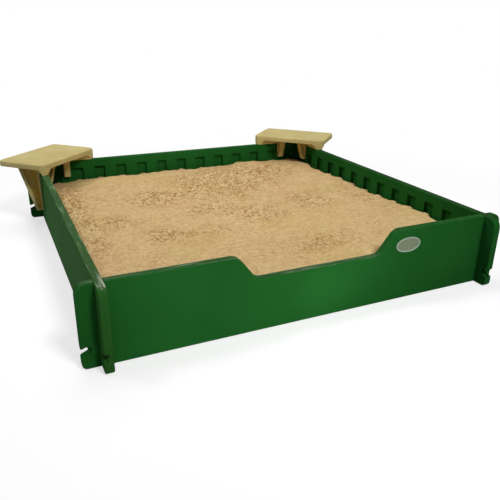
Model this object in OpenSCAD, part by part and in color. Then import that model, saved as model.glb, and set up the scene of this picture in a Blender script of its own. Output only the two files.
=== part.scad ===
// Square play sandbox: four moulded wall panels that cross at the corners in half laps,
// two seats that hang over the rear corners, an oval plate, a ground cloth and the sand.
// Millimetres, +Z up. The origin is on the ground under the middle of the play area,
// +X points to the right wall and +Y to the back wall.

/* [Box] */
// Clear width between the two side panels
inside_w = 1216; // [900:2:1600]
// Clear depth between the front and the back panel
inside_d = 1216; // [900:2:1600]
// Height of the panels
wall_h = 232; // [190:1:300]
// Thickness of the panels
wall_t = 24; // [19:0.5:32]

/* [Corners] */
// How far a panel runs on past the panel that it crosses
ear_l = 47; // [36:1:70]
// Radius of the upper corner of an ear
ear_top_r = 32; // [5:1:40]
// Radius of the lower corner of an ear
ear_bottom_r = 14; // [3:1:20]
// Height where the lower and the upper lap slot meet
lap_h = 116; // [80:1:160]
// Gap on each side of a panel in the slot that it crosses
lap_gap = 0.4; // [0.2:0.1:1]

/* [Cord hooks] */
// Height of the middle of a hook slot's mouth, in the end of an ear
hook_z = 46; // [36:1:60]
// Width of a hook slot
hook_w = 10.5; // [6:0.5:12]
// Length of a hook slot, along its middle
hook_l = 20.5; // [14:0.5:26]
// How steeply a hook slot climbs into the ear, in degrees
hook_slope = 23; // [10:1:40]
// Radius of the lips at the mouth of a hook slot
lip_r = 4; // [0.5:0.5:6]
// Width of the thin web around a hook slot
web_w = 7; // [2:0.5:9]
// Thickness of that web, in the middle of the panel
web_t = 6; // [4:0.5:16]

/* [Inner pockets] */
// Width of the recesses in the inner faces
pocket_w = 45; // [30:1:60]
// Depth of the recesses
pocket_depth = 15; // [6:0.5:16]
// Distance from one recess to the next
pocket_pitch = 93.5; // [75:0.5:130]
// Solid band above and below the recesses
pocket_band = 34; // [20:1:50]
// Corner radius of the recesses
pocket_r = 6; // [2:0.5:10]

/* [Step-in dip] */
// Width of the dip at the top of the front panel
dip_top_w = 516; // [420:2:700]
// Width of the dip at its bottom
dip_bottom_w = 404; // [240:2:480]
// Depth of the dip
dip_depth = 72; // [50:1:90]
// Radius where the dip leaves the top edge
dip_top_r = 38; // [5:1:50]
// Radius at the bottom of the dip
dip_bottom_r = 34; // [5:1:50]

/* [Oval plate] */
// Length of the oval plate on the front panel
plate_l = 91; // [60:1:120]
// Height of the oval plate
plate_h = 48; // [30:1:60]
// Thickness of the oval plate inside its rim
plate_t = 2.4; // [1.5:0.1:4]
// Height of the plate's raised rim
plate_rim_h = 1; // [0.5:0.1:2]
// Width of the plate's raised rim
plate_rim_w = 4; // [2:0.5:8]
// Distance of the plate's middle from the edge of the dip
plate_from_dip = 47; // [44:1:90]
// Distance of the plate's middle below the top of the panel
plate_drop = 51; // [40:1:80]
// Depth of the seat for the plate in the panel
plate_seat = 1.2; // [0.5:0.1:2]
// Gap around the plate in its seat
plate_gap = 0.3; // [0.1:0.1:1]

/* [Corner seats] */
// Length of a seat board, across the corner
seat_w = 346; // [300:1:420]
// Depth of a seat board, along the corner's diagonal
seat_d = 214; // [180:1:260]
// How far the middle of the board lies inside the corner
seat_inset = 52; // [40:1:80]
// Thickness of a seat board
seat_t = 22; // [12:0.5:30]
// Corner radius of a seat board
seat_corner_r = 22; // [5:1:40]
// Height of the rails that stand on the panels
rail_h = 22; // [16:0.5:30]
// Height of a rail's straight foot
rail_foot_h = 5; // [2:0.5:8]
// How much wider a rail is on each side where it meets the board
rail_flare = 15; // [4:0.5:20]
// Radius where a rail's foot turns out to the board
rail_turn_r = 12; // [2:0.5:16]
// Gap between a rail and the panel that it stands on
seat_rest_gap = 0.3; // [0.2:0.1:1]
// Gap between a leg and the face of the panel beside it
seat_side_gap = 0.6; // [0.3:0.1:2]

/* [Seat legs] */
// Width of a leg along its panel
leg_w = 25; // [18:1:36]
// Distance of the legs from the middle of the corner
leg_s = 105; // [85:1:130]
// Depth of the hollow in each side of a leg
leg_hollow = 8; // [2:0.5:8.5]
// Radius of a leg's rounded lower end
leg_end_r = 7; // [2:0.5:9]
// How far an outer leg stands out from the panel, under the board
outer_leg_top = 80; // [60:1:90]
// How far an outer leg stands out at its lower end
outer_leg_end = 29; // [24:1:40]
// Length of an outer leg, below the board
outer_leg_l = 192; // [140:1:210]
// Width of the rim around the hollow sides of an outer leg
outer_leg_rim = 14; // [6:0.5:15]
// How far an inner leg stands out from the panel, under the board
inner_leg_top = 42; // [34:1:60]
// How far an inner leg stands out at its lower end
inner_leg_end = 19; // [18:1:30]
// Width of the rim around the hollow sides of an inner leg
inner_leg_rim = 8; // [4:0.5:10]
// Height of an inner leg's end above the highest sand
inner_leg_clear = 9.3; // [2:0.1:30]

/* [Sand and ground cloth] */
// How far the mean sand surface lies below the top of the panels
sand_drop = 81; // [50:1:140]
// Height of the sand's hollows and mounds, from the mean surface
sand_swell = 7; // [0:0.5:12]
// How much lower the sand lies in the corners
sand_corner_fall = 8; // [0:1:20]
// Gap between the sand and the panels
sand_gap = 0.3; // [0.1:0.1:2]
// Thickness of the ground cloth
cloth_t = 1.2; // [0.8:0.1:3]
// Gap between the ground cloth and the panels
cloth_gap = 3; // [1:0.5:20]

/* [Hidden] */

panel_green = "#245f2b";
seat_tan = "#bfae78";
plate_grey = "#9aa79a";
sand_tan = "#c9ab7b";
cloth_black = "#33342f";

// Depth by which a cut runs out past the face that it starts from
past = 1;
// Largest turn between two points of a rounded corner, and the points round the oval
arc_step = 11.25;
oval_points = 64;
// Straight stretch between the two round corners at the end of a hook slot
hook_end_flat = 0.5;
// Sides of the round end of the web around a hook slot
web_sides = 48;
// Cells along each side of the sand's surface
sand_cells = 28;
// Waves of the sand's surface: share of the swell, degrees over the half width and the half depth, start
sand_waves = [[0.45, 250, 130, 40], [0.30, -210, 330, 15],
              [0.125, 420, 380, 120], [0.125, 420, -380, 180]];
// How closely the fall of the sand keeps to the corners
sand_corner_power = 4;

lap_w = wall_t + 2 * lap_gap;
board_z = wall_h + seat_rest_gap + rail_h;
corner_x = inside_w / 2 + wall_t / 2;
corner_y = inside_d / 2 + wall_t / 2;
dip_z = wall_h - dip_depth;
plate_x = dip_top_w / 2 + plate_from_dip;
plate_z = wall_h - plate_drop;
sand_z = wall_h - sand_drop;
inner_leg_l = board_z - (sand_z + sand_swell + inner_leg_clear);

// Points of an arc of radius p.z that rounds the corner p between its neighbours a and b
function flat(p) = [p.x, p.y];
function unit(v) = v / norm(v);
function turn_to(from, to) = let (d = to - from) d - 360 * round(d / 360);
function corner_arc(a, p, b) =
    let (u = unit(flat(a) - flat(p)),
         v = unit(flat(b) - flat(p)),
         half = acos(u * v) / 2,
         centre = flat(p) + unit(u + v) * p.z / sin(half),
         first = flat(p) + u * p.z / tan(half) - centre,
         last = flat(p) + v * p.z / tan(half) - centre,
         start = atan2(first.y, first.x),
         sweep = turn_to(start, atan2(last.y, last.x)),
         count = max(1, ceil(abs(sweep) / arc_step)))
    [for (i = [0:count]) centre + p.z * [cos(start + sweep * i / count), sin(start + sweep * i / count)]];

// Outline through corners [x, y, radius], each rounded by its radius
function rounded(corners) =
    let (n = len(corners))
    [for (i = [0:n - 1])
        each (corners[i].z > 0
            ? corner_arc(corners[(i + n - 1) % n], corners[i], corners[(i + 1) % n])
            : [flat(corners[i])])];

// Corners of a rectangle, all rounded alike
function box_corners(x0, y0, x1, y1, r) = [[x0, y0, r], [x1, y0, r], [x1, y1, r], [x0, y1, r]];

// Stands a flat outline up, so that its y is the height, between two depths
module upright(y0, y1)
    translate([0, y1, 0])
        rotate([90, 0, 0])
            linear_extrude(y1 - y0)
                children();

// Corners of the slot in the end of an ear that a cord is hooked into, from its lower to its upper lip
function hook_corners(end_x) =
    let (along = [-cos(hook_slope), sin(hook_slope)],
         across = [sin(hook_slope), cos(hook_slope)] * hook_w / 2,
         tip = [end_x, hook_z] + hook_l * along,
         lip_z = hook_w / 2 / cos(hook_slope),
         end_r = (hook_w - hook_end_flat) / 2)
    [[end_x, hook_z - lip_z, lip_r],
     [tip.x - across.x, tip.y - across.y, end_r],
     [tip.x + across.x, tip.y + across.y, end_r],
     [end_x, hook_z + lip_z, lip_r]];

// Outline of the thin web around a hook slot: it climbs with the slot to a round end
module hook_web(end_x) {
    width = hook_w + 2 * web_w;
    length = hook_l - hook_w / 2;
    translate([end_x, hook_z])
        rotate(180 - hook_slope) {
            translate([-width, -width / 2])
                square([width + length, width]);
            translate([length, 0])
                circle(d = width, $fn = web_sides);
        }
}

// Outline of a panel between crossings `clear` apart, with or without the dip
module panel_outline(clear, dipped) {
    end_x = clear / 2 + wall_t + ear_l;
    right_hook = hook_corners(end_x);
    left_hook = [for (i = [len(right_hook) - 1:-1:0])
        let (p = right_hook[i])
        [-p.x, p.y, p.z]];
    dip = dipped
        ? [[dip_top_w / 2, wall_h, dip_top_r], [dip_bottom_w / 2, dip_z, dip_bottom_r],
           [-dip_bottom_w / 2, dip_z, dip_bottom_r], [-dip_top_w / 2, wall_h, dip_top_r]]
        : [];
    polygon(rounded(concat(
        [[-end_x, 0, ear_bottom_r], [end_x, 0, ear_bottom_r]],
        right_hook,
        [[end_x, wall_h, ear_top_r]],
        dip,
        [[-end_x, wall_h, ear_top_r]],
        left_hook)));
}

// Recesses in the inner face of a panel, lower where the dip is above them
module pockets(clear, dipped) {
    side_count = floor((clear / 2 - pocket_w / 2 - pocket_r) / pocket_pitch);
    for (k = [-side_count:side_count]) {
        under_dip = dipped && abs(k * pocket_pitch) - pocket_w / 2 < dip_top_w / 2;
        top = (under_dip ? dip_z : wall_h) - pocket_band;
        translate([k * pocket_pitch, 0])
            polygon(rounded(box_corners(-pocket_w / 2, pocket_band, pocket_w / 2, top, pocket_r)));
    }
}

// Panel with its inner face at y = 0; the lap slots open upwards or downwards, and the hook slots
// lie in webs that are sunk from both faces
module panel(clear, laps_up, dipped = false) {
    lap_x = clear / 2 + wall_t / 2;
    end_x = clear / 2 + wall_t + ear_l;
    lap_z = laps_up ? lap_h : -past;
    web_depth = (wall_t - web_t) / 2;
    difference() {
        upright(0, wall_t)
            difference() {
                panel_outline(clear, dipped);
                for (side = [0, 1])
                    mirror([side, 0])
                        translate([lap_x - lap_w / 2, lap_z])
                            square([lap_w, laps_up ? wall_h - lap_h + past : lap_h + past]);
            }
        upright(-past, pocket_depth)
            pockets(clear, dipped);
        for (side = [0, 1], face_y = [-past, wall_t - web_depth])
            mirror([side, 0, 0])
                upright(face_y, face_y + web_depth + past)
                    hook_web(end_x);
    }
}

// Oval of the plate, grown or shrunk all round
function oval(grow) =
    [for (i = [0:oval_points - 1])
        let (a = 360 * i / oval_points)
        [(plate_l / 2 + grow) * cos(a), (plate_h / 2 + grow) * sin(a)]];

module front_panel()
    color(panel_green)
        difference() {
            rotate([0, 0, 180])
                translate([0, inside_d / 2, 0])
                    panel(inside_w, true, true);
            translate([plate_x, -inside_d / 2 - wall_t, plate_z])
                upright(-past, plate_seat)
                    polygon(oval(plate_gap));
        }

module back_panel()
    color(panel_green)
        translate([0, inside_d / 2, 0])
            panel(inside_w, true);

module left_panel()
    color(panel_green)
        rotate([0, 0, 90])
            translate([0, inside_w / 2, 0])
                panel(inside_d, false);

module right_panel()
    color(panel_green)
        rotate([0, 0, -90])
            translate([0, inside_w / 2, 0])
                panel(inside_d, false);

// Bare oval plate, pressed into its seat, with a raised rim
module oval_plate()
    color(plate_grey)
        translate([plate_x, -inside_d / 2 - wall_t + plate_seat, plate_z])
            difference() {
                upright(-plate_t - plate_rim_h, 0)
                    polygon(oval(0));
                upright(-plate_t - plate_rim_h - past, -plate_t)
                    polygon(oval(-plate_rim_w));
            }

// Tapered leg beside a panel: it stands out from y = 0, with a hollow in each side.
// The rim round a hollow is half as wide beside the panel.
module leg(top, end, length, rim) {
    slope = (top - end) / length;
    lean = slope * rim;
    rotate([90, 0, 90])
        difference() {
            translate([0, 0, -leg_w / 2])
                linear_extrude(leg_w)
                    polygon(rounded([[0, 0, 0], [0, -length, leg_end_r],
                                     [end, -length, leg_end_r], [top, 0, 0]]));
            for (side = [0, 1])
                mirror([0, 0, side])
                    translate([0, 0, leg_w / 2 - leg_hollow])
                        linear_extrude(leg_hollow + past)
                            polygon([[rim / 2, -rim], [rim / 2, rim - length],
                                     [end + lean - rim, rim - length], [top - lean - rim, -rim]]);
        }
}

// Plan of a seat board, square to the diagonal of the corner
module board_plan()
    rotate(45)
        translate([-seat_inset, 0])
            polygon(rounded(box_corners(-seat_d / 2, -seat_w / 2, seat_d / 2, seat_w / 2, seat_corner_r)));

// Rail on the top of a panel that runs towards -X: it spreads up to the board and ends at its edges
module rail() {
    foot = wall_t / 2;
    spread = foot + rail_flare;
    intersection() {
        translate([-seat_w, 0, board_z - rail_h])
            rotate([90, 0, 90])
                linear_extrude(seat_w + foot)
                    polygon(rounded([[-foot, 0, 0], [foot, 0, 0], [foot, rail_foot_h, rail_turn_r],
                                     [spread, rail_h, 0], [-spread, rail_h, 0],
                                     [-foot, rail_foot_h, rail_turn_r]]));
        translate([0, 0, board_z - rail_h])
            linear_extrude(rail_h)
                board_plan();
    }
}

// What holds a seat on one panel: the rail on its top and a leg on each side
module wall_grip() {
    leg_y = wall_t / 2 + seat_side_gap;
    rail();
    translate([-leg_s, 0, board_z]) {
        translate([0, leg_y, 0])
            leg(outer_leg_top, outer_leg_end, outer_leg_l, outer_leg_rim);
        mirror([0, 1, 0])
            translate([0, leg_y, 0])
                leg(inner_leg_top, inner_leg_end, inner_leg_l, inner_leg_rim);
    }
}

// Seat over the corner where the back and the right panel cross
module corner_seat()
    translate([corner_x, corner_y, 0]) {
        translate([0, 0, board_z])
            linear_extrude(seat_t)
                board_plan();
        wall_grip();
        mirror([1, -1, 0])
            wall_grip();
    }

module right_seat()
    color(seat_tan)
        corner_seat();

module left_seat()
    color(seat_tan)
        mirror([1, 0, 0])
            corner_seat();

// Height of the sand at a place: long crossing swells, and a fall into the corners
function sand_height(x, y) =
    let (u = 2 * x / inside_w,
         v = 2 * y / inside_d,
         waves = [for (w = sand_waves) w[0] * sin(w[1] * u + w[2] * v + w[3])],
         swell = waves * [for (w = waves) 1])
    sand_z + sand_swell * swell - sand_corner_fall * pow(u * v, sand_corner_power);

// Sand in the box, with an uneven top
module sand_fill() {
    half_w = inside_w / 2 - sand_gap;
    half_d = inside_d / 2 - sand_gap;
    n = sand_cells;
    row = n + 1;
    top = [for (j = [0:n], i = [0:n])
        let (x = half_w * (2 * i / n - 1),
             y = half_d * (2 * j / n - 1))
        [x, y, sand_height(x, y)]];
    bottom = [[-half_w, -half_d, cloth_t], [half_w, -half_d, cloth_t],
              [half_w, half_d, cloth_t], [-half_w, half_d, cloth_t]];
    base = len(top);
    surface = [for (j = [0:n - 1], i = [0:n - 1])
        let (p = j * row + i)
        each [[p, p + row, p + row + 1], [p, p + row + 1, p + 1]]];
    front = concat([base + 1, base], [for (i = [0:n]) i]);
    right = concat([base + 2, base + 1], [for (j = [0:n]) j * row + n]);
    back = concat([base + 3, base + 2], [for (i = [n:-1:0]) n * row + i]);
    left = concat([base, base + 3], [for (j = [n:-1:0]) j * row]);
    under = [base, base + 1, base + 2, base + 3];
    color(sand_tan)
        polyhedron(concat(top, bottom), concat(surface, [front, right, back, left, under]));
}

// Ground cloth under the sand
module ground_cloth()
    color(cloth_black)
        translate([cloth_gap - inside_w / 2, cloth_gap - inside_d / 2, 0])
            cube([inside_w - 2 * cloth_gap, inside_d - 2 * cloth_gap, cloth_t]);

front_panel();
back_panel();
left_panel();
right_panel();
oval_plate();
left_seat();
right_seat();
sand_fill();
ground_cloth();
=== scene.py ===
import math

import bmesh
import bpy
from mathutils import Matrix, Vector
from mathutils.bvhtree import BVHTree


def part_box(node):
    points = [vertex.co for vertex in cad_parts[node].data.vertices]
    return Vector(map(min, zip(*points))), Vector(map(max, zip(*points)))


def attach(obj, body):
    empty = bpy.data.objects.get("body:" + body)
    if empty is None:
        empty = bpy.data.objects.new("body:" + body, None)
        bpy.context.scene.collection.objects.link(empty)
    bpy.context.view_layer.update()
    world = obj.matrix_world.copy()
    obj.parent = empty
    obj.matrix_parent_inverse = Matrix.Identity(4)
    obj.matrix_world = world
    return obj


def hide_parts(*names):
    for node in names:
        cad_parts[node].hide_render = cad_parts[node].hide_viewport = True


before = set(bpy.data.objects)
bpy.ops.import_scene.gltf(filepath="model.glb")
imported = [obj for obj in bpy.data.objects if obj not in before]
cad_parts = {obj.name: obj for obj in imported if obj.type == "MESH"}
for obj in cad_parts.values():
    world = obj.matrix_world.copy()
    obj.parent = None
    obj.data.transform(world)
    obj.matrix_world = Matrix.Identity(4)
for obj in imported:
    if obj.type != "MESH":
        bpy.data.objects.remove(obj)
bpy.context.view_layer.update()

# The photograph's view: from the front left, a little above the box and looking down into it.
# The place, the turns and the lens come from where the corners of the panels lie in the picture.
eye = Vector((-0.8127, -1.8678, 0.8168))
turned_right = math.radians(25.37)
looking_down = math.radians(22.53)
tipped_left = math.radians(0.84)
camera = bpy.data.objects.new("camera", bpy.data.cameras.new("camera"))
camera.data.sensor_width = 36
camera.data.lens = 40.7
camera.matrix_world = (
    Matrix.Translation(eye)
    @ Matrix.Rotation(-turned_right, 4, "Z")
    @ Matrix.Rotation(math.pi / 2 - looking_down, 4, "X")
    @ Matrix.Rotation(tipped_left, 4, "Z")
)
bpy.context.scene.collection.objects.link(camera)
bpy.context.scene.camera = camera


# Wall panels: four panels of green plastic, each moulded in one piece with a row of pockets inside.
# They cross at the corners in half laps, with no screws, and stand on the ground on their lower edges.
def alone(piece):
    """Selects one piece and nothing else, so that the operators act on it only."""
    bpy.ops.object.select_all(action="DESELECT")
    piece.select_set(True)
    bpy.context.view_layer.objects.active = piece


def moulding_from(node, name):
    """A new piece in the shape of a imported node, its loose triangles joined into whole flat faces."""
    same_point = 0.00002
    same_plane = math.radians(0.5)
    piece = bpy.data.objects.new(name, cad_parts[node].data.copy())
    piece.data.name = name
    piece.data.materials.clear()
    bpy.context.scene.collection.objects.link(piece)
    alone(piece)
    bpy.ops.mesh.customdata_custom_splitnormals_clear()
    bpy.ops.object.mode_set(mode="EDIT")
    bpy.ops.mesh.select_all(action="SELECT")
    bpy.ops.mesh.remove_doubles(threshold=same_point)
    bpy.ops.mesh.dissolve_limited(angle_limit=same_plane)
    bpy.ops.object.mode_set(mode="OBJECT")
    return piece


def round_over(piece, radius_of, steps):
    """Rounds each sharp edge by the radius that radius_of gives for its two ends, as a mould does."""
    sharp_from = math.radians(25)
    smooth_up_to = math.radians(40)
    shape = bmesh.new()
    shape.from_mesh(piece.data)
    radii = [
        radius_of(*(end.co for end in edge.verts)) if edge.calc_face_angle(0) > sharp_from else 0.0
        for edge in shape.edges
    ]
    shape.free()
    widest = max(radii)
    weights = piece.data.attributes.new("bevel_weight_edge", "FLOAT", "EDGE")
    weights.data.foreach_set("value", [radius / widest for radius in radii])
    alone(piece)
    rounding = piece.modifiers.new("rounding", "BEVEL")
    rounding.limit_method = "WEIGHT"
    rounding.width = widest
    rounding.segments = steps
    rounding.use_clamp_overlap = False
    rounding.loop_slide = False
    bpy.ops.object.modifier_apply(modifier="rounding")
    bpy.ops.object.shade_smooth_by_angle(angle=smooth_up_to)
    evening = piece.modifiers.new("evening", "WEIGHTED_NORMAL")
    evening.keep_sharp = True
    bpy.ops.object.modifier_apply(modifier="evening")


def colour(red, green, blue):
    """A colour as it looks on a screen, from 0 to 255, in the linear values that shaders take."""
    shares = [value / 255 for value in (red, green, blue)]
    return [s / 12.92 if s < 0.04045 else ((s + 0.055) / 1.055) ** 2.4 for s in shares] + [1.0]


def new_finish(name):
    """A new material with its node tree and its shader."""
    finish = bpy.data.materials.new(name)
    finish.use_nodes = True
    return finish, finish.node_tree, finish.node_tree.nodes["Principled BSDF"]


def put(tree, kind, inputs=None, **settings):
    """Adds a node to a tree. Each input is a plain value or another node's output."""
    made = tree.nodes.new("ShaderNode" + kind)
    for key, value in settings.items():
        setattr(made, key, value)
    for key, value in (inputs or {}).items():
        if isinstance(value, bpy.types.NodeSocket):
            tree.links.new(value, made.inputs[key])
        else:
            made.inputs[key].default_value = value
    return made


def noise(tree, place, scale, detail=3.0, roughness=0.5):
    """Soft random pattern, from 0 to 1."""
    values = {"Vector": place, "Scale": scale, "Detail": detail, "Roughness": roughness}
    return put(tree, "TexNoise", values).outputs["Fac"]


def eased(tree, value, start, end, low=0.0, high=1.0):
    """A value that goes smoothly from low at start to high at end."""
    values = {"Value": value, "From Min": start, "From Max": end, "To Min": low, "To Max": high}
    return put(tree, "MapRange", values, interpolation_type="SMOOTHSTEP").outputs["Result"]


def worked_out(tree, operation, *values):
    """The result of an arithmetic operation on one or two values."""
    return put(tree, "Math", dict(enumerate(values)), operation=operation).outputs[0]


def both(tree, first, second):
    """The share that two shares have together: their product."""
    return worked_out(tree, "MULTIPLY", first, second)


def mixed(tree, share, first, second):
    """The first colour with a share of the second over it. A Mix node takes them in sockets 6 and 7."""
    values = {0: share, 6: first, 7: second}
    return put(tree, "Mix", values, data_type="RGBA").outputs[2]


def bump(tree, height, strength, distance, over=None):
    """The normals of a surface raised by a height, over those of another bump where one is given."""
    values = {"Strength": strength, "Distance": distance, "Height": height}
    if over is not None:
        values["Normal"] = over
    return put(tree, "Bump", values).outputs["Normal"]


def stippled(tree, shader, place, grain, depth, wave):
    """Bump of a moulded surface: a fine stipple over slow waves."""
    slow = noise(tree, place, scale=14.0, detail=1.0)
    waves = bump(tree, slow, strength=0.5, distance=wave)
    fine = noise(tree, place, scale=grain, detail=2.0)
    stipple = bump(tree, fine, strength=0.6, distance=depth, over=waves)
    tree.links.new(stipple, shader.inputs["Normal"])


def panel_plastic(name, stretch, wear_and_sheen, top_darkening, warm_light):
    """Green plastic: mottled, stippled, tinted brown by a share of painted warm light, with shares of
    scuffs, dust and painted sheen, and darker brown along its top.
    """
    deep_green = colour(24, 82, 29)
    fresh_green = colour(30, 93, 36)
    rubbed_green = colour(86, 118, 82)
    warm_light_brown = colour(72, 70, 24)
    top_dark_brown = colour(26, 32, 18)
    dust_and_sheen_grey = colour(140, 160, 126)
    scuff_white = colour(206, 206, 190)
    finish, tree, shader = new_finish(name)
    coordinates = put(tree, "TexCoord").outputs
    place = coordinates["Object"]
    spot = put(tree, "SeparateXYZ", {0: place}).outputs
    facing = put(tree, "SeparateXYZ", {0: coordinates["Normal"]}).outputs
    sides = [worked_out(tree, "ABSOLUTE", facing[axis]) for axis in "XYZ"]
    straight = worked_out(tree, "MAXIMUM", worked_out(tree, "MAXIMUM", sides[0], sides[1]), sides[2])
    edge = eased(tree, straight, 0.97, 0.80)
    top = both(tree, eased(tree, facing["Z"], 0.75, 0.98), eased(tree, spot["Z"], 0.10, 0.14))
    mottle = eased(tree, noise(tree, place, scale=2.6), 0.35, 0.68)
    green = mixed(tree, mottle, deep_green, fresh_green)
    # Painted warm light: a share of brown tints the whole panel, standing in for warm light from the left.
    blended = mixed(tree, warm_light, green, warm_light_brown)
    # The upward faces along the top are made darker brown by a share that each wall sets.
    darkened = mixed(tree, both(tree, top, top_darkening), blended, top_dark_brown)
    drawn_out = put(tree, "Mapping", {"Vector": place, "Scale": stretch}).outputs["Vector"]
    streaks = eased(tree, noise(tree, drawn_out, scale=1.0, detail=5.0, roughness=0.7), 0.46, 0.72)
    # Dust and painted sheen make the tops paler in streaks, more towards the left; the same share sets the
    # scuffs at the front end.
    top_wear_and_sheen = both(tree, top, eased(tree, spot["X"], 0.5, -0.3))
    dust_and_sheen = eased(tree, streaks, 0.0, 1.0, low=0.2 * wear_and_sheen, high=1.6 * wear_and_sheen)
    dusted_and_sheened = mixed(tree, both(tree, top_wear_and_sheen, dust_and_sheen), darkened, dust_and_sheen_grey)
    front_end = both(tree, top_wear_and_sheen, eased(tree, spot["Y"], -0.58, -0.66, high=1.5 * wear_and_sheen))
    scuffed = mixed(tree, both(tree, front_end, streaks), dusted_and_sheened, scuff_white)
    patches = eased(tree, noise(tree, place, scale=18.0, detail=4.0, roughness=0.65), 0.45, 0.8)
    rubbing = eased(tree, patches, 0.0, 1.0, high=0.2)
    worn = mixed(tree, both(tree, edge, rubbing), scuffed, rubbed_green)
    tree.links.new(worn, shader.inputs["Base Color"])
    dullness = eased(tree, noise(tree, place, scale=30.0, detail=4.0), 0.3, 0.7, low=0.75, high=0.9)
    tree.links.new(dullness, shader.inputs["Roughness"])
    shader.inputs["Specular IOR Level"].default_value = 0.05
    stippled(tree, shader, place, grain=950.0, depth=0.00025, wave=0.0012)
    return finish


mould_radius = 0.003
lap_radius = 0.001
web_radius = 0.0015
web_bottom = 0.029
web_top = 0.085
slack = 0.001
plate_low, plate_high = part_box("oval_plate")


def wall_radius(run, crossing):
    """Gives the radius of a wall's edge: small in the laps and round the hooks, none at the plate's seat."""
    laps = [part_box(node) for node in crossing]
    ears_from = max(high[run] for low, high in laps) + slack

    def radius_of(*ends):
        for low, high in laps:
            if all(low[run] - slack < end[run] < high[run] + slack for end in ends):
                return lap_radius
        if all(plate_low.x - slack < end.x < plate_high.x + slack
               and plate_low.z - slack < end.z < plate_high.z + slack
               and end.y < plate_high.y + slack for end in ends):
            return 0.0
        if all(abs(end[run]) > ears_from and web_bottom < end.z < web_top for end in ends):
            return web_radius
        return mould_radius

    return radius_of


along_x, along_y = 0, 1
side_panels = ("left_panel", "right_panel")
end_panels = ("front_panel", "back_panel")
along_streak = 7.0
across_streak = 90.0
streaks_along = {
    along_x: (along_streak, across_streak, across_streak),
    along_y: (across_streak, along_streak, across_streak),
}
# Per wall: wear with dust and painted sheen on the top, darker brown on the top, and painted warm light as a
# brown tint.
wear_sheen_darkening_and_warm_light = {
    "front_panel": (0.24, 0.35, 0.0),
    "back_panel": (0.05, 0.35, 0.0),
    "left_panel": (0.46, 0.3, 0.14),
    "right_panel": (0.0, 0.7, 0.0),
}
walls = [(node, along_x, side_panels) for node in end_panels]
walls += [(node, along_y, end_panels) for node in side_panels]
for node, run, crossing in walls:
    wall = moulding_from(node, node.replace("panel", "wall"))
    round_over(wall, wall_radius(run, crossing), steps=3)
    green_plastic = panel_plastic(f"{wall.name}_green", streaks_along[run], *wear_sheen_darkening_and_warm_light[node])
    wall.data.materials.append(green_plastic)
    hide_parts(node)
    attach(wall, "box")


# Oval plate: a bare plate of silver-grey plastic with a raised rim round a sunk field.
# It is pressed into a shallow seat in the front panel, to the right of the step-in dip.
def plate_plastic():
    """Silver-grey plastic, paler on the rim and faintly brushed along the field."""
    dark_silver = colour(98, 110, 84)
    light_silver = colour(120, 132, 104)
    rim_silver = colour(150, 168, 146)
    rim_w = 0.004
    brush_lines = (60.0, 60.0, 2400.0)
    finish, tree, shader = new_finish("plate_silver")
    place = put(tree, "TexCoord").outputs["Object"]
    middle = (plate_low + plate_high) / 2
    half = (plate_high - plate_low) / 2
    to_field = (1 / (half.x - rim_w), 0.0, 1 / (half.z - rim_w))
    centred = put(tree, "VectorMath", {0: place, 1: middle}, operation="SUBTRACT").outputs[0]
    spread = put(tree, "VectorMath", {0: centred, 1: to_field}, operation="MULTIPLY").outputs[0]
    outward = put(tree, "VectorMath", {0: spread}, operation="LENGTH").outputs["Value"]
    brushing = put(tree, "Mapping", {"Vector": place, "Scale": brush_lines}).outputs["Vector"]
    brushed = mixed(tree, noise(tree, brushing, scale=1.0, detail=2.0), dark_silver, light_silver)
    toned = mixed(tree, eased(tree, outward, 0.95, 1.02), brushed, rim_silver)
    tree.links.new(toned, shader.inputs["Base Color"])
    dullness = eased(tree, noise(tree, place, scale=240.0), 0.3, 0.7, low=0.34, high=0.46)
    tree.links.new(dullness, shader.inputs["Roughness"])
    shader.inputs["Metallic"].default_value = 0.15
    stippled(tree, shader, place, grain=1800.0, depth=0.00008, wave=0.0001)
    return finish


plate_radius = 0.0004
plate = moulding_from("oval_plate", "oval_badge")
round_over(plate, lambda *ends: plate_radius, steps=3)
plate.data.materials.append(plate_plastic())
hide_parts("oval_plate")
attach(plate, "box")


# Ground cloth: a square of black woven ground fabric with a hem folded over twice all round.
# It lies loose on the ground between the panels and keeps the sand and the soil apart.
def laid_grid(name, cells, side, z):
    """A new flat square of cells at a height, open for editing."""
    bpy.ops.object.select_all(action="DESELECT")
    bpy.ops.mesh.primitive_grid_add(
        x_subdivisions=cells, y_subdivisions=cells, size=side, location=(0, 0, z))
    piece = bpy.context.object
    piece.name = name
    bpy.ops.object.transform_apply(location=True)
    bpy.ops.object.mode_set(mode="EDIT")
    return piece


def select_rim():
    """Selects the open edges round the piece that is being edited, and nothing else."""
    bpy.ops.mesh.select_mode(type="EDGE")
    bpy.ops.mesh.select_all(action="DESELECT")
    bpy.ops.mesh.select_non_manifold(
        use_wire=False, use_multi_face=False, use_non_contiguous=False, use_verts=False)


def draw_down(depth):
    """Extrudes the selected rim straight down."""
    bpy.ops.mesh.extrude_edges_move(TRANSFORM_OT_translate={"value": (0, 0, -depth)})


def close_bottom():
    """Closes the selected rim with one face and turns every face outwards."""
    bpy.ops.mesh.edge_face_add()
    bpy.ops.mesh.select_all(action="SELECT")
    bpy.ops.mesh.normals_make_consistent(inside=False)


cloth_low, cloth_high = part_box("ground_cloth")
cloth_side = cloth_high.x - cloth_low.x
cloth_cells = 44
weave_t = 0.0006
hem_t = cloth_high.z - cloth_low.z
cloth = laid_grid("laid_cloth", cloth_cells, cloth_side, weave_t)
bpy.ops.mesh.select_mode(type="FACE")
bpy.ops.mesh.select_all(action="DESELECT")
shape = bmesh.from_edit_mesh(cloth.data)
for face in shape.faces:
    face.select_set(any(edge.is_boundary for edge in face.edges))
bmesh.update_edit_mesh(cloth.data)
bpy.ops.mesh.extrude_region_move(TRANSFORM_OT_translate={"value": (0, 0, hem_t - weave_t)})
select_rim()
draw_down(weave_t)
close_bottom()
bpy.ops.object.mode_set(mode="OBJECT")


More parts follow.
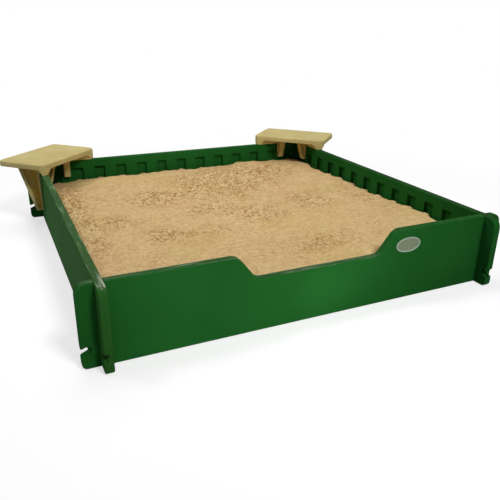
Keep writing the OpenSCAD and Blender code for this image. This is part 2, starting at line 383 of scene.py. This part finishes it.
def woven_black():
    """Black fabric of flat plastic tapes, 2 mm wide, woven over and under."""
    tape_black = colour(34, 35, 33)
    tape_grey = colour(52, 53, 49)
    soil_grey = colour(74, 70, 60)
    tapes_per_metre = 500.0
    finish, tree, shader = new_finish("cloth_black")
    place = put(tree, "TexCoord").outputs["Object"]
    weave = {"Vector": place, "Scale": tapes_per_metre, "Color1": tape_black, "Color2": tape_grey}
    tapes = put(tree, "TexChecker", weave).outputs
    soiling = eased(tree, noise(tree, place, scale=9.0), 0.4, 0.7, high=0.3)
    tree.links.new(mixed(tree, soiling, tapes["Color"], soil_grey), shader.inputs["Base Color"])
    over_and_under = bump(tree, tapes["Fac"], strength=0.7, distance=0.0003)
    tree.links.new(over_and_under, shader.inputs["Normal"])
    shader.inputs["Roughness"].default_value = 0.6
    return finish


cloth.data.materials.append(woven_black())
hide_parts("ground_cloth")
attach(cloth, "box")

# Play sand: washed tan sand, poured in over the cloth and spread by hand. It runs into the pockets
# of the panels, lies lower in the corners, and is crumbly where it was dug and patted flat elsewhere.
sand_low, sand_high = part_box("sand_fill")
sand_half = sand_high.x
pocket_pitch = 0.0935
pocket_w = 0.045
pocket_sill = 0.0345
pocket_run_in = 0.0144
pocket_rows = 4
pockets_each_way = 6
cells_per_pitch = 23
sand_cells = cells_per_pitch * (2 * pockets_each_way + 1)
sand = laid_grid("play_sand", sand_cells, 2 * sand_half, sand_high.z)
select_rim()
draw_down(sand_high.z - pocket_sill)
draw_down(pocket_sill - sand_low.z)
close_bottom()

# The sand is drawn out into the pockets of each wall: the wall's run, the way out, and how far from
# the middle the pockets lie under the surface, as they do below the front panel's dip
none_buried = -1
buried_by_dip = 2
pocket_walls = (
    (along_x, Vector((0, -1, 0)), buried_by_dip),
    (along_x, Vector((0, 1, 0)), none_buried),
    (along_y, Vector((-1, 0, 0)), none_buried),
    (along_y, Vector((1, 0, 0)), none_buried),
)
square_on = 0.9
bpy.ops.mesh.select_mode(type="FACE")
for run, outward, buried in pocket_walls:
    bpy.ops.mesh.select_all(action="DESELECT")
    shape = bmesh.from_edit_mesh(sand.data)
    for face in shape.faces:
        middle = face.calc_center_median()
        pocket = round(middle[run] / pocket_pitch)
        at_wall = face.normal.dot(outward) > square_on and middle.z > pocket_sill
        in_front = abs(middle[run] - pocket * pocket_pitch) < pocket_w / 2
        face.select_set(at_wall and in_front and buried < abs(pocket) <= pockets_each_way)
    bmesh.update_edit_mesh(sand.data)
    for row in range(pocket_rows):
        bpy.ops.mesh.extrude_region_move(
            TRANSFORM_OT_translate={"value": outward * pocket_run_in / pocket_rows})
bpy.ops.object.mode_set(mode="OBJECT")

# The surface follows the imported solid, slopes down into the pockets, and is banked up or scooped out
# at the walls in places: middle of the bank, its reach and its height
banks = (
    (0.31, 0.61, 0.09, 0.013),
    (0.13, 0.61, 0.04, 0.008),
    (0.61, -0.36, 0.16, 0.012),
    (0.61, 0.15, 0.07, 0.006),
    (-0.20, 0.61, 0.10, -0.005),
    (0.61, 0.40, 0.08, -0.008),
)
packed_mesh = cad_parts["sand_fill"].data
packed_sand = BVHTree.FromPolygons(
    [vertex.co for vertex in packed_mesh.vertices], [face.vertices for face in packed_mesh.polygons])
edge_margin = 0.001
pocket_fall = 0.3
well_above = 1.0
downwards = Vector((0, 0, -1))
inner_half = sand_half - edge_margin
spots = [vertex.co.copy() for vertex in sand.data.vertices]
surface = [index for index, spot in enumerate(spots) if spot.z > sand_high.z - slack]
for index in surface:
    spot = spots[index]
    x = max(-inner_half, min(inner_half, spot.x))
    y = max(-inner_half, min(inner_half, spot.y))
    packed_spot = packed_sand.ray_cast(Vector((x, y, well_above)), downwards)[0]
    beyond = max(0.0, abs(spot.x) - sand_half, abs(spot.y) - sand_half)
    banked = sum(
        height * math.exp(-((x - bank_x) ** 2 + (y - bank_y) ** 2) / reach ** 2)
        for bank_x, bank_y, reach, height in banks
    )
    spot.z = packed_spot.z + banked - pocket_fall * beyond
sand.data.vertices.foreach_set("co", [value for spot in spots for value in spot])
sand.vertex_groups.new(name="surface").add(surface, 1.0, "REPLACE")
smoothing_passes = 20
alone(sand)
smoothing = sand.modifiers.new("smoothing", "SMOOTH")
smoothing.vertex_group = "surface"
smoothing.use_x = False
smoothing.use_y = False
smoothing.iterations = smoothing_passes
bpy.ops.object.modifier_apply(modifier="smoothing")


def keep_at_points(piece, name, values):
    """Keeps a value at every point of a piece, for its material to read."""
    piece.data.attributes.new(name, "FLOAT", "POINT").data.foreach_set("value", values)


# Where the sand was dug: middle, reach along x, reach along y, how crumbly
dug_patches = (
    (0.05, 0.30, 0.17, 0.22, 1.0),
    (0.24, 0.40, 0.16, 0.14, 0.8),
    (0.42, 0.46, 0.09, 0.10, 0.7),
    (-0.24, 0.21, 0.11, 0.09, 0.9),
    (-0.54, 0.38, 0.06, 0.16, 0.7),
    (-0.55, 0.08, 0.05, 0.20, 0.6),
    (-0.55, -0.20, 0.05, 0.14, 0.4),
    (-0.45, -0.02, 0.08, 0.06, 0.7),
    (-0.32, -0.20, 0.06, 0.07, 0.7),
    (-0.17, -0.20, 0.08, 0.05, 0.6),
    (-0.11, 0.00, 0.09, 0.06, 0.6),
    (0.05, -0.11, 0.08, 0.08, 0.8),
    (0.30, -0.05, 0.10, 0.12, 0.6),
    (0.54, -0.07, 0.07, 0.14, 0.5),
    (0.10, -0.45, 0.26, 0.07, 0.4),
)
dug_steps = 40
dug_levels = [[] for step in range(dug_steps + 1)]
looseness = [0.0] * len(spots)
for index in surface:
    spot = spots[index]
    crumbly = sum(
        amount * math.exp(-((spot.x - x) / reach_x) ** 2 - ((spot.y - y) / reach_y) ** 2)
        for x, y, reach_x, reach_y, amount in dug_patches
    )
    looseness[index] = min(1.0, crumbly)
    dug_levels[round(looseness[index] * dug_steps)].append(index)
keep_at_points(sand, "looseness", looseness)
dug = sand.vertex_groups.new(name="dug")
for step, indices in enumerate(dug_levels):
    dug.add(indices, step / dug_steps, "REPLACE")


def heap(name, kind, size, height, group):
    """Raises and lowers the sand's surface in a pattern of clouds or lumps of a given size."""
    pattern = bpy.data.textures.new(name, kind)
    pattern.noise_scale = size
    change = sand.modifiers.new(name, "DISPLACE")
    change.texture = pattern
    change.texture_coords = "LOCAL"
    change.direction = "Z"
    change.strength = height
    change.vertex_group = group
    bpy.ops.object.modifier_apply(modifier=name)


relief_height = 0.005
crests_smooth_up_to = math.radians(60)
heap("spread_by_hand", "CLOUDS", size=0.11, height=0.012, group="surface")
ground = [vertex.co.z for vertex in sand.data.vertices]
heap("ripples", "CLOUDS", size=0.035, height=0.005, group="surface")
heap("clods", "VORONOI", size=0.016, height=-0.012, group="dug")
heap("crumbs", "VORONOI", size=0.010, height=-0.012, group="dug")
heap("grit", "CLOUDS", size=0.008, height=0.004, group="surface")
risen = [(vertex.co.z - z) / relief_height for vertex, z in zip(sand.data.vertices, ground)]
keep_at_points(sand, "relief", risen)
bpy.ops.object.shade_smooth_by_angle(angle=crests_smooth_up_to)


def tan_sand():
    """Dry sand of mixed tans, mottled, with painted shade in the pits, painted light on the crests, and
    strewn crumbs with painted shade between them and painted highlights on their crowns.
    """
    dark_grain = colour(181, 146, 96)
    pale_grain = colour(208, 177, 126)
    bright_grain = colour(224, 199, 152)
    earth_tan = colour(198, 161, 110)
    rosy_tan = colour(206, 166, 122)
    olive_tan = colour(194, 170, 107)
    mottle_brown = colour(160, 125, 76)
    mottle_cream = colour(226, 197, 148)
    pit_shade_brown = colour(158, 116, 62)
    crest_light_cream = colour(236, 208, 160)
    gap_shade_brown = colour(156, 110, 56)
    crown_highlight_cream = colour(246, 220, 174)
    grains_per_metre = 620.0
    crumbs_per_metre = 84.0
    wobble_reach = (0.012, 0.012, 0.012)
    finish, tree, shader = new_finish("sand_tan")
    place = put(tree, "TexCoord").outputs["Object"]

    grains = put(tree, "TexVoronoi", {"Vector": place, "Scale": grains_per_metre}).outputs
    shade = put(tree, "SeparateColor", {0: grains["Color"]}).outputs[0]
    tan = mixed(tree, eased(tree, shade, 0.05, 0.5), dark_grain, pale_grain)
    grained = mixed(tree, eased(tree, shade, 0.75, 0.95), tan, bright_grain)
    patches = eased(tree, noise(tree, place, scale=6.0, detail=4.0), 0.45, 0.72, high=0.45)
    patched = mixed(tree, patches, grained, earth_tan)
    hue = noise(tree, place, scale=5.0)
    rosy = mixed(tree, eased(tree, hue, 0.5, 0.35, high=0.3), patched, rosy_tan)
    olive = mixed(tree, eased(tree, hue, 0.5, 0.65, high=0.35), rosy, olive_tan)
    mottle = noise(tree, place, scale=70.0, detail=2.0)
    shaded = mixed(tree, eased(tree, mottle, 0.55, 0.3, high=0.3), olive, mottle_brown)
    mottled = mixed(tree, eased(tree, mottle, 0.5, 0.75, high=0.3), shaded, mottle_cream)
    height = put(tree, "Attribute", attribute_name="relief").outputs["Fac"]
    # Painted shade darkens the sand where the relief sinks into pits, and painted light makes it paler on
    # the crests.
    pit_shaded = mixed(tree, eased(tree, height, -0.2, -1.0, high=0.75), mottled, pit_shade_brown)
    crest_lit = mixed(tree, eased(tree, height, 0.0, 0.8, high=0.6), pit_shaded, crest_light_cream)

    dug_here = put(tree, "Attribute", attribute_name="looseness").outputs["Fac"]
    loose = eased(tree, worked_out(tree, "ADD", dug_here, noise(tree, place, scale=12.0)), 0.42, 1.2)
    wobble = put(tree, "TexNoise", {"Vector": place, "Scale": 140.0, "Detail": 3.0}).outputs["Color"]
    off_place = {0: wobble, 1: wobble_reach, 2: place}
    ragged = put(tree, "VectorMath", off_place, operation="MULTIPLY_ADD").outputs[0]
    crumbs = put(tree, "TexVoronoi", {"Vector": ragged, "Scale": crumbs_per_metre}).outputs
    chance = put(tree, "SeparateColor", {0: crumbs["Color"]}).outputs[0]
    strewn = both(tree, loose, eased(tree, chance, 0.35, 0.6))
    # Painted shade darkens the gaps between the strewn crumbs, and a painted highlight makes their crowns
    # paler.
    shaded_gaps = both(tree, strewn, eased(tree, crumbs["Distance"], 0.42, 0.68, high=0.85))
    lit_crowns = both(tree, strewn, eased(tree, crumbs["Distance"], 0.35, 0.1, high=0.85))
    gap_shaded = mixed(tree, shaded_gaps, crest_lit, gap_shade_brown)
    crown_lit = mixed(tree, lit_crowns, gap_shaded, crown_highlight_cream)
    tree.links.new(crown_lit, shader.inputs["Base Color"])

    heaped = both(tree, worked_out(tree, "SUBTRACT", 1.0, crumbs["Distance"]), strewn)
    lumpy = bump(tree, heaped, strength=0.9, distance=0.006)
    rough = noise(tree, place, scale=260.0, roughness=0.7)
    coarse = bump(tree, rough, strength=0.45, distance=0.002, over=lumpy)
    fine = bump(tree, grains["Distance"], strength=0.3, distance=0.0008, over=coarse)
    tree.links.new(fine, shader.inputs["Normal"])
    shader.inputs["Roughness"].default_value = 0.95
    shader.inputs["Specular IOR Level"].default_value = 0.15
    return finish


sand.data.materials.append(tan_sand())
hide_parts("sand_fill")
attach(sand, "box")


# Corner seats: two seats of tan plastic, each one moulding of a board, two rails and four hollow legs.
# The rails stand on the crossing panels and the legs straddle them, so a seat lifts straight off.
def seat_plastic():
    """Tan plastic: a little mottled, stippled, with paler edges and painted shade, a deep amber, in the
    outer legs' hollows.
    """
    dark_tan = colour(189, 172, 113)
    pale_tan = colour(201, 186, 128)
    edge_cream = colour(220, 206, 158)
    hollow_shade_amber = colour(200, 156, 58)
    edge_slope = 0.7
    finish, tree, shader = new_finish("seat_tan")
    coordinates = put(tree, "TexCoord").outputs
    place = coordinates["Object"]
    mottle = eased(tree, noise(tree, place, scale=9.0, detail=4.0, roughness=0.6), 0.35, 0.7)
    tan = mixed(tree, mottle, dark_tan, pale_tan)
    facing = put(tree, "SeparateXYZ", {0: coordinates["Normal"]}).outputs
    off_slope = worked_out(tree, "ABSOLUTE", worked_out(tree, "SUBTRACT", facing["Z"], edge_slope))
    edge = eased(tree, off_slope, 0.22, 0.05)
    worn_spots = noise(tree, place, scale=24.0, detail=4.0, roughness=0.65)
    patches = eased(tree, worn_spots, 0.4, 0.8, low=0.1, high=0.5)
    worn = mixed(tree, both(tree, edge, patches), tan, edge_cream)
    # Painted shade: a deep amber laid in patches into the hollow sides of the outer legs, under the board.
    hollow = put(tree, "Attribute", attribute_name="hollow").outputs["Fac"]
    hollow_shade_spots = noise(tree, place, scale=14.0, detail=4.0, roughness=0.65)
    patchy_hollow_shade = eased(tree, hollow_shade_spots, 0.3, 0.7, low=0.6, high=1.0)
    darkened = mixed(tree, both(tree, hollow, patchy_hollow_shade), worn, hollow_shade_amber)
    tree.links.new(darkened, shader.inputs["Base Color"])
    dullness = eased(tree, noise(tree, place, scale=30.0, detail=4.0), 0.3, 0.7, low=0.65, high=0.8)
    tree.links.new(dullness, shader.inputs["Roughness"])
    shader.inputs["Specular IOR Level"].default_value = 0.12
    stippled(tree, shader, place, grain=950.0, depth=0.00025, wave=0.0008)
    return finish


board_radius = 0.007
board_t = 0.022
leg_radius = 0.0015
leg_place = 0.515
leg_half = 0.0125
leg_floor = 0.0045
wall_low, wall_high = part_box("right_panel")
outside_from = (wall_low.x + wall_high.x) / 2


def seat_radius(board_top):
    """Gives the radius of a seat's edge: large round the top of the board, small elsewhere."""
    def radius_of(*ends):
        return board_radius if min(end.z for end in ends) > board_top - slack else leg_radius

    return radius_of


def hollow_depth(spot, board_bottom):
    """How deep a place lies in the hollow side of an outer leg: 1 on the floor, 0 outside it."""
    if spot.z > board_bottom - slack or max(abs(spot.x), spot.y) < outside_from:
        return 0.0
    aside = min(abs(abs(spot.x) - leg_place), abs(spot.y - leg_place))
    open_from = leg_half - leg_radius
    return max(0.0, min(1.0, (open_from - aside) / (open_from - leg_floor)))


tan_plastic = seat_plastic()
for side in ("left", "right"):
    node = f"{side}_seat"
    board_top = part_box(node)[1].z
    seat = moulding_from(node, f"{side}_corner_seat")
    round_over(seat, seat_radius(board_top), steps=4)
    depths = [hollow_depth(vertex.co, board_top - board_t) for vertex in seat.data.vertices]
    keep_at_points(seat, "hollow", depths)
    seat.data.materials.append(tan_plastic)
    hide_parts(node)
    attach(seat, node)


# Studio: a plain white floor that keeps the soft shadow of the box and fades into a white background.
# A wide lamp hangs overhead, smaller ones far off in front and to the left, and two weak ones stand low.
def seen_as_background(tree):
    """1 for what the camera sees straight, in a reflection or through glass."""
    path = put(tree, "LightPath").outputs
    straight_or_shiny = worked_out(tree, "MAXIMUM", path["Is Camera Ray"], path["Is Glossy Ray"])
    return worked_out(tree, "MAXIMUM", straight_or_shiny, path["Is Transmission Ray"])


white = (1.0, 1.0, 1.0, 1.0)
floor_grey = (0.5, 0.5, 0.5, 1.0)
floor_glow = 0.62
floor_side = 80.0
shadow_reach = 0.9
white_from = 2.0
bpy.ops.object.select_all(action="DESELECT")
bpy.ops.mesh.primitive_plane_add(size=floor_side, location=(0, 0, -slack))
floor = bpy.context.object
floor.name = "studio_floor"
floor_white, tree, shader = new_finish("floor_white")
shader.inputs["Base Color"].default_value = floor_grey
shader.inputs["Roughness"].default_value = 1.0
shader.inputs["Specular IOR Level"].default_value = 0.0
shader.inputs["Emission Color"].default_value = white
place = put(tree, "TexCoord").outputs["Object"]
away = put(tree, "VectorMath", {0: place}, operation="LENGTH").outputs["Value"]
background = seen_as_background(tree)
tree.links.new(both(tree, background, floor_glow), shader.inputs["Emission Strength"])
plain_white = put(tree, "Emission", {"Color": white, "Strength": 1.0})
fade_out = both(tree, background, eased(tree, away, shadow_reach, white_from))
blended = put(tree, "MixShader", {0: fade_out, 1: shader.outputs[0], 2: plain_white.outputs[0]})
tree.links.new(blended.outputs[0], tree.nodes["Material Output"].inputs["Surface"])
floor.data.materials.append(floor_white)

even_strength = 0.09
world = bpy.data.worlds.new("studio")
world.use_nodes = True
bpy.context.scene.world = world
tree = world.node_tree
even_light = tree.nodes["Background"]
even_light.inputs["Color"].default_value = white
even_light.inputs["Strength"].default_value = even_strength
backdrop = put(tree, "Background", {"Color": white, "Strength": 1.0})
background = seen_as_background(tree)
chosen = put(tree, "MixShader", {0: background, 1: even_light.outputs[0], 2: backdrop.outputs[0]})
tree.links.new(chosen.outputs[0], tree.nodes["World Output"].inputs["Surface"])


def hang_lamp(name, place, target, size, spread, watts):
    """A soft square lamp that points at a target and spreads its light over an angle in degrees."""
    lamp = bpy.data.objects.new(name, bpy.data.lights.new(name, "AREA"))
    lamp.data.size = size
    lamp.data.spread = math.radians(spread)
    lamp.data.energy = watts
    lamp.location = place
    lamp.rotation_euler = (Vector(target) - lamp.location).to_track_quat("-Z", "Y").to_euler()
    lamp.visible_camera = False
    bpy.context.scene.collection.objects.link(lamp)


hang_lamp("overhead_lamp", place=(0.0, 1.0, 2.9), target=(0.0, 0.0, 0.1), size=2.4, spread=180, watts=35.5)
hang_lamp("key_lamp", place=(0.7, -4.2, 4.6), target=(0.0, 0.0, 0.15), size=1.2, spread=60, watts=23)
hang_lamp("front_lamp", place=(-0.1, -2.2, 0.1), target=(-0.1, -0.6, 0.13), size=0.18, spread=44, watts=0.88)
hang_lamp("left_lamp", place=(-1.0, -2.3, 0.25), target=(-0.6, 0.4, 0.13), size=0.3, spread=30, watts=0.08)
hang_lamp("fill_lamp", place=(-2.0, 0.6, 3.3), target=(0.4, 0.1, 0.15), size=0.7, spread=60, watts=4.4)

bpy.context.scene.view_settings.view_transform = "Standard"
